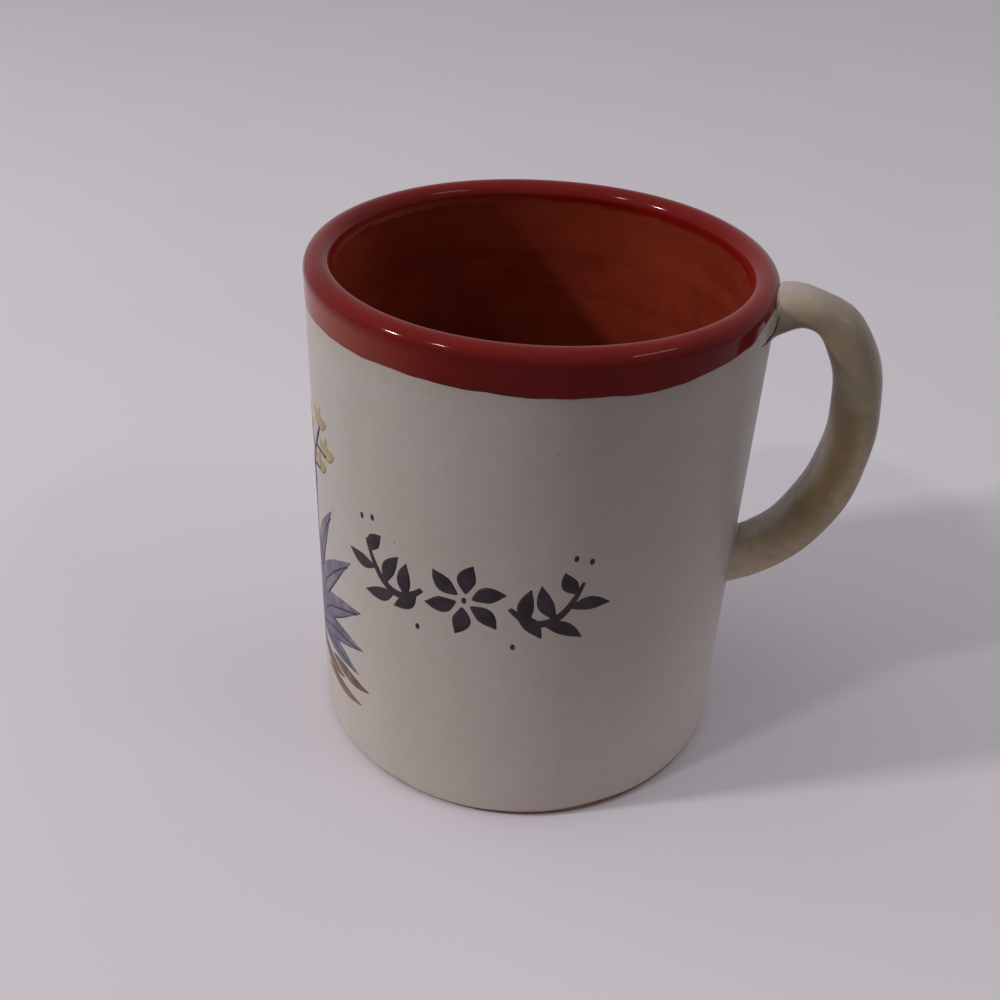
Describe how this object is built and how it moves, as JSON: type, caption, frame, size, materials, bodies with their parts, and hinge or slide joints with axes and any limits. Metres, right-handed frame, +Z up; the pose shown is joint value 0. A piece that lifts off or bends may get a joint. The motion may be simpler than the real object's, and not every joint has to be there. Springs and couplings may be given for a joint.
{
  "type": "clay mug",
  "caption": "Straight-sided glazed clay mug with a clear-glazed inside, a red rounded lip and band, a cream outside and a loop handle luted to its wall.",
  "frame": {"origin": "on the mug's axis, in the plane of the foot ring that it stands on", "axes": "+Z up along the mug's axis, +X out through the middle of the handle, +Y to the left of the handle seen from outside"},
  "size_m": [0.1, 0.08, 0.095],
  "materials": {
    "clay": "bare fired red clay, matt",
    "slip": "fired joining slip, matt",
    "lining_glaze": "clear glaze over red clay",
    "red_glaze": "glossy red-brown glaze",
    "cream_glaze": "satin cream glaze",
    "handle_glaze": "satin cream glaze, thin and olive over the clay",
    "brush_ink": "fired brush ink under a thin gloss"
  },
  "bodies": {
    "root": {"clay_cup": "clay", "lining_glaze": "lining_glaze", "red_glaze": "red_glaze", "cream_glaze": "cream_glaze", "clay_handle": "clay", "upper_joint_slip": "slip", "lower_joint_slip": "slip", "handle_glaze": "handle_glaze"}
  },
  "joints": []
}
